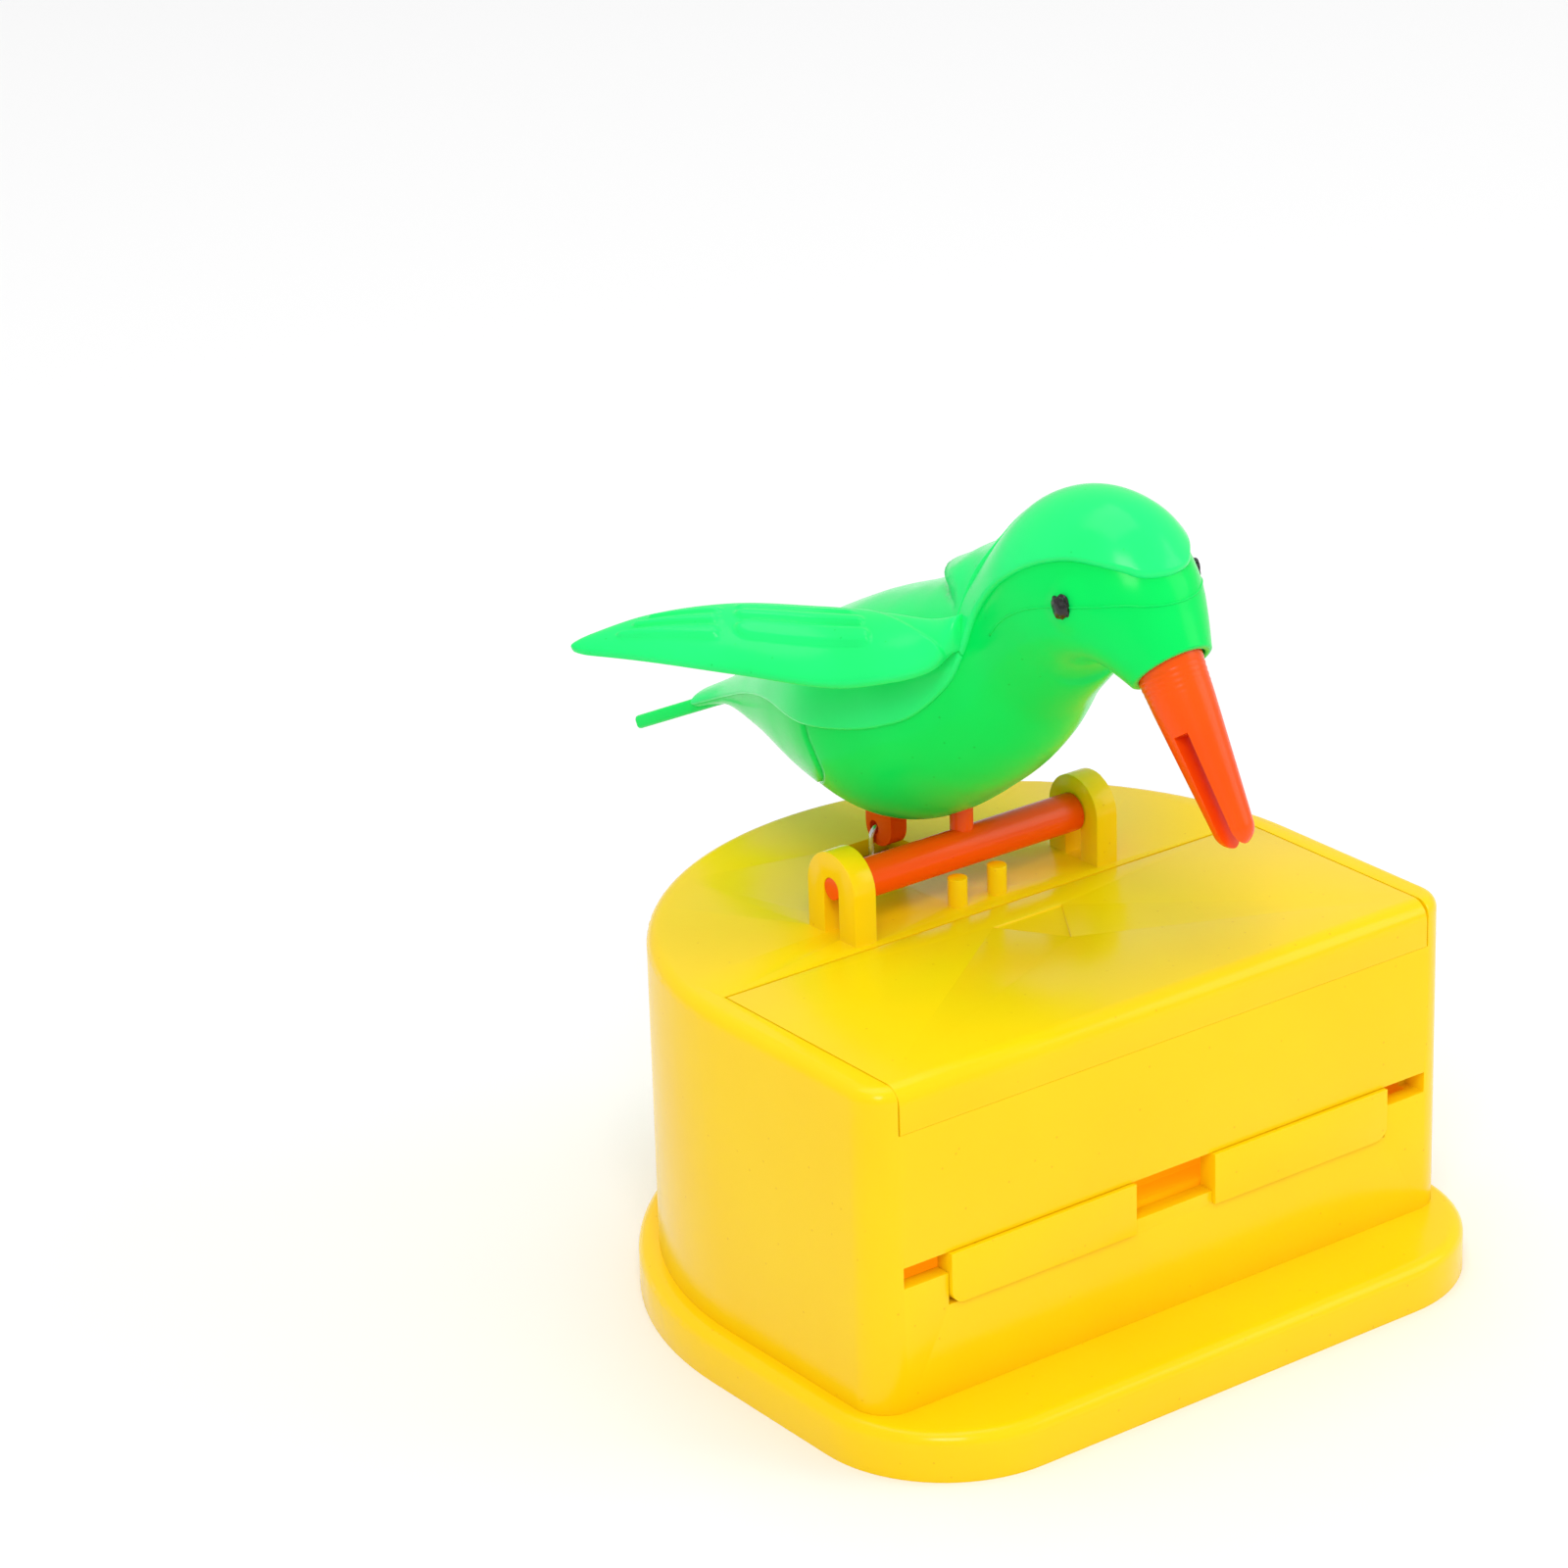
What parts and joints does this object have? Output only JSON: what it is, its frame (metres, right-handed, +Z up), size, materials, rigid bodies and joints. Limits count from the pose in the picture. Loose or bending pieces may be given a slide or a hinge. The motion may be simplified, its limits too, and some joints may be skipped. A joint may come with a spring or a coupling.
{
  "type": "bird toothpick dispenser",
  "caption": "Half-round box with a sliding lid, a front pick tray and a sprung bird on a perch bar that bows to lift out a toothpick.",
  "frame": {"origin": "middle of the flat underside of the base plate", "axes": "+Z up, the bird and the front wall face -Y, the perch axis runs along X"},
  "size_m": [0.0846, 0.1036, 0.0954],
  "materials": {
    "box_yellow": "glossy moulded plastic",
    "lid_yellow": "glossy moulded plastic",
    "orange": "glossy moulded plastic",
    "bird_green": "glossy moulded plastic",
    "hood_green": "glossy moulded plastic",
    "eye_black": "glossy black",
    "steel": "bright spring wire"
  },
  "bodies": {
    "box": {"base_plate": "box_yellow", "box_shell": "box_yellow", "hopper_tray": "box_yellow", "return_spring": "steel"},
    "lid": {"lid": "lid_yellow"},
    "bird": {"perch_lever": "orange", "bird_shell": "bird_green", "hood": "hood_green", "back_wings": "hood_green", "tail": "bird_green", "beak": "orange", "eye_left": "eye_black", "eye_right": "eye_black"}
  },
  "joints": [
    {"name": "lid_slide", "type": "slide", "parent": "box", "child": "lid", "axis": [0, -1, 0], "range_m": [0, 0.075]},
    {"name": "bird_tilt", "type": "hinge", "parent": "box", "child": "bird", "pos_m": [0, 0.0056, 0.048], "axis": [1, 0, 0], "range_deg": [0, 56], "stiffness_Nm_per_rad": 0.011, "springref_deg": -20.05, "deforming": ["return_spring"]}
  ]
}
